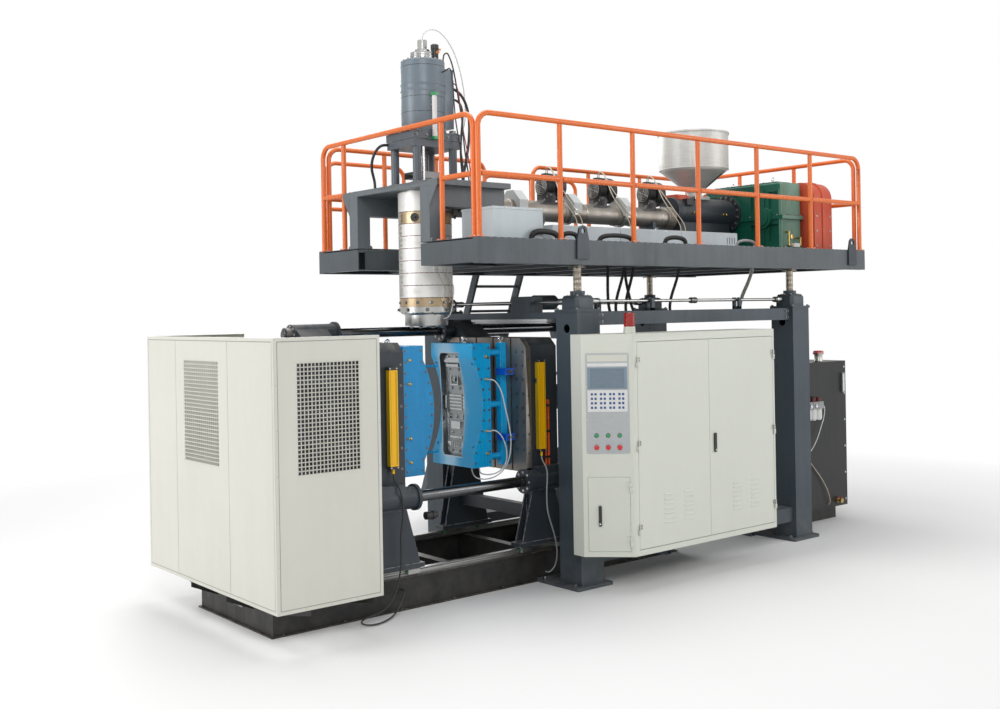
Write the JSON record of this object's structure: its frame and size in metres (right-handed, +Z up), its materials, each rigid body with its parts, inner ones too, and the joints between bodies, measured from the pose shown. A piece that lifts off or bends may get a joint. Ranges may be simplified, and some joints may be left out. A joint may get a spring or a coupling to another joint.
{
  "type": "blow moulding machine",
  "caption": "Extrusion blow moulding machine: accumulator head and extruder on a lifting platform with guard rails, a two tie bar clamp with open moulds, control cabinet and oil tank.",
  "frame": {"origin": "on the floor, under the axis of the die head, midway between the two guide rails", "axes": "+X runs along the machine from the clamp cover to the extruder drive, +Z is up, and -Y is the operator side with the control cabinet"},
  "size_m": [7.695, 4.2945, 5.1406],
  "materials": {
    "base_black": "satin black paint",
    "frame_grey": "satin slate grey paint",
    "platen_slate": "satin dark slate paint over a casting",
    "platform_grey": "satin mid grey paint",
    "cream": "semi gloss cream paint",
    "rail_orange": "satin orange red paint",
    "gear_green": "dark green machinery paint on a casting",
    "guard_coral": "satin coral paint on sheet metal",
    "mould_blue": "blue paint with worn bright steel faces",
    "mould_deep_blue": "deep blue paint with worn bright steel faces",
    "clamp_blue": "bright blue paint",
    "curtain_yellow": "satin yellow powder coat",
    "steel": "ground steel",
    "plate_steel": "blued machined steel",
    "chrome_rod": "hard chromed",
    "tank_black": "dark grey paint",
    "barrel_steel": "heat tinted steel jacket",
    "band_steel": "polished heater band",
    "head_bronze": "heat tinted bronze",
    "cylinder_grey": "grey blue paint",
    "hopper_steel": "polished stainless sheet",
    "panel_aluminium": "brushed",
    "red_lens": "clear red lens",
    "green_plastic": "gloss green",
    "red_plastic": "gloss red",
    "black_plastic": "matte black",
    "cable_black": "matt black jacket",
    "cable_grey": "matt grey jacket",
    "hose_blue": "clear tinted tube",
    "blower_black": "satin black paint",
    "motor_blue": "blue grey paint"
  },
  "bodies": {
    "base": {"base_frame": "base_black", "guide_rails": "steel", "frame_columns": "frame_grey", "frame_beams": "frame_grey", "clamp_cover": "cream", "cabinet_shell": "cream", "cabinet_plate": "steel", "operator_panel": "panel_aluminium", "beacon": "red_lens", "oil_tank": "tank_black", "jack_gearboxes": "frame_grey", "air_hoses": "hose_blue"},
    "left_clamp": {"left_platen": "platen_slate", "tie_bars": "chrome_rod", "rear_plate": "platen_slate", "left_mould": "mould_deep_blue", "left_carriage": "platen_slate", "left_light_curtain": "curtain_yellow", "curtain_cable_left": "cable_black"},
    "right_clamp": {"right_platen": "platen_slate", "right_mould_plate": "plate_steel", "right_mould": "mould_blue", "mould_clamps": "clamp_blue", "right_carriage": "platen_slate", "right_light_curtain": "curtain_yellow", "clamp_rod": "chrome_rod", "curtain_cable_right": "cable_grey"},
    "platform": {"platform_frame": "platform_grey", "guard_rails": "rail_orange", "ladder": "platform_grey", "jack_screws": "steel", "head_gantry": "platform_grey", "deck_boxes": "cream", "barrel": "barrel_steel", "blowers": "blower_black", "feed_throat": "platen_slate", "hopper": "hopper_steel", "gearbox": "gear_green", "belt_guard": "guard_coral", "drive_motor": "motor_blue", "die_head": "head_bronze", "heater_bands": "band_steel", "head_yoke": "steel", "accumulator_cylinder": "cylinder_grey", "platform_hoses": "cable_black"},
    "ram": {"accumulator_ram": "chrome_rod"},
    "shaft_cross": {"lift_shaft_cross": "steel"},
    "shaft_near": {"lift_shaft_near": "steel"},
    "shaft_far": {"lift_shaft_far": "steel"},
    "left_door": {"cabinet_door_left": "cream"},
    "right_door": {"cabinet_door_right": "cream"},
    "right_door_handle": {"door_handle": "black_plastic"},
    "side_door": {"service_door": "cream"},
    "side_door_handle": {"service_door_handle": "black_plastic"},
    "start_1": {"start_button_1": "green_plastic"},
    "start_2": {"start_button_2": "green_plastic"},
    "start_3": {"start_button_3": "green_plastic"},
    "stop_1": {"stop_button_1": "red_plastic"},
    "stop_2": {"stop_button_2": "red_plastic"},
    "stop_3": {"stop_button_3": "red_plastic"}
  },
  "joints": [
    {"name": "left_clamp_slide", "type": "slide", "parent": "base", "child": "left_clamp", "axis": [1, 0, 0], "range_m": [0, 0.275]},
    {"name": "right_clamp_slide", "type": "slide", "parent": "base", "child": "right_clamp", "axis": [-1, 0, 0], "range_m": [0, 0.275]},
    {"name": "platform_lift", "type": "slide", "parent": "base", "child": "platform", "axis": [0, 0, 1], "range_m": [-0.1, 0.2]},
    {"name": "ram_slide", "type": "slide", "parent": "platform", "child": "ram", "axis": [0, 0, 1], "range_m": [0, 0.15]},
    {"name": "cross_shaft_turn", "type": "hinge", "parent": "base", "child": "shaft_cross", "pos_m": [0.948, 0, 2.575], "axis": [0, 1, 0], "range_deg": [-4520, 9020]},
    {"name": "near_shaft_turn", "type": "hinge", "parent": "base", "child": "shaft_near", "pos_m": [2.5, -1.03, 2.575], "axis": [1, 0, 0], "range_deg": [-4520, 9020]},
    {"name": "far_shaft_turn", "type": "hinge", "parent": "base", "child": "shaft_far", "pos_m": [2.5, 1.03, 2.575], "axis": [1, 0, 0], "range_deg": [-4520, 9020]},
    {"name": "left_door_hinge", "type": "hinge", "parent": "base", "child": "left_door", "pos_m": [1.092, -1.632, 1.3], "axis": [0, 0, -1], "range_deg": [0, 110]},
    {"name": "right_door_hinge", "type": "hinge", "parent": "base", "child": "right_door", "pos_m": [3, -1.632, 1.3], "axis": [0, 0, 1], "range_deg": [0, 110]},
    {"name": "right_door_handle_turn", "type": "hinge", "parent": "right_door", "child": "right_door_handle", "pos_m": [2.116, -1.62, 1.18], "axis": [0, 1, 0], "range_deg": [0, 90]},
    {"name": "side_door_hinge", "type": "hinge", "parent": "base", "child": "side_door", "pos_m": [1.00442, -1.59984, 0.7], "axis": [0, 0, 1], "range_deg": [0, 100]},
    {"name": "side_door_handle_turn", "type": "hinge", "parent": "side_door", "child": "side_door_handle", "pos_m": [0.82399, -1.40538, 0.6275], "axis": [0.7016, 0.7126, 0], "range_deg": [0, 90]},
    {"name": "start_1_press", "type": "slide", "parent": "base", "child": "start_1", "axis": [0.7016, 0.7126, 0], "range_m": [0, 0.005], "stiffness_N_per_m": 300},
    {"name": "stop_1_press", "type": "slide", "parent": "base", "child": "stop_1", "axis": [0.7016, 0.7126, 0], "range_m": [0, 0.005], "stiffness_N_per_m": 300},
    {"name": "start_2_press", "type": "slide", "parent": "base", "child": "start_2", "axis": [0.7016, 0.7126, 0], "range_m": [0, 0.005], "stiffness_N_per_m": 300},
    {"name": "stop_2_press", "type": "slide", "parent": "base", "child": "stop_2", "axis": [0.7016, 0.7126, 0], "range_m": [0, 0.005], "stiffness_N_per_m": 300},
    {"name": "start_3_press", "type": "slide", "parent": "base", "child": "start_3", "axis": [0.7016, 0.7126, 0], "range_m": [0, 0.005], "stiffness_N_per_m": 300},
    {"name": "stop_3_press", "type": "slide", "parent": "base", "child": "stop_3", "axis": [0.7016, 0.7126, 0], "range_m": [0, 0.005], "stiffness_N_per_m": 300}
  ],
  "couplings": [
    {"joint": "right_clamp_slide", "follows": "left_clamp_slide", "ratio": 1},
    {"joint": "cross_shaft_turn", "follows": "platform_lift", "rad_per_m": 785.4},
    {"joint": "near_shaft_turn", "follows": "platform_lift", "rad_per_m": 785.4},
    {"joint": "far_shaft_turn", "follows": "platform_lift", "rad_per_m": 785.4}
  ]
}
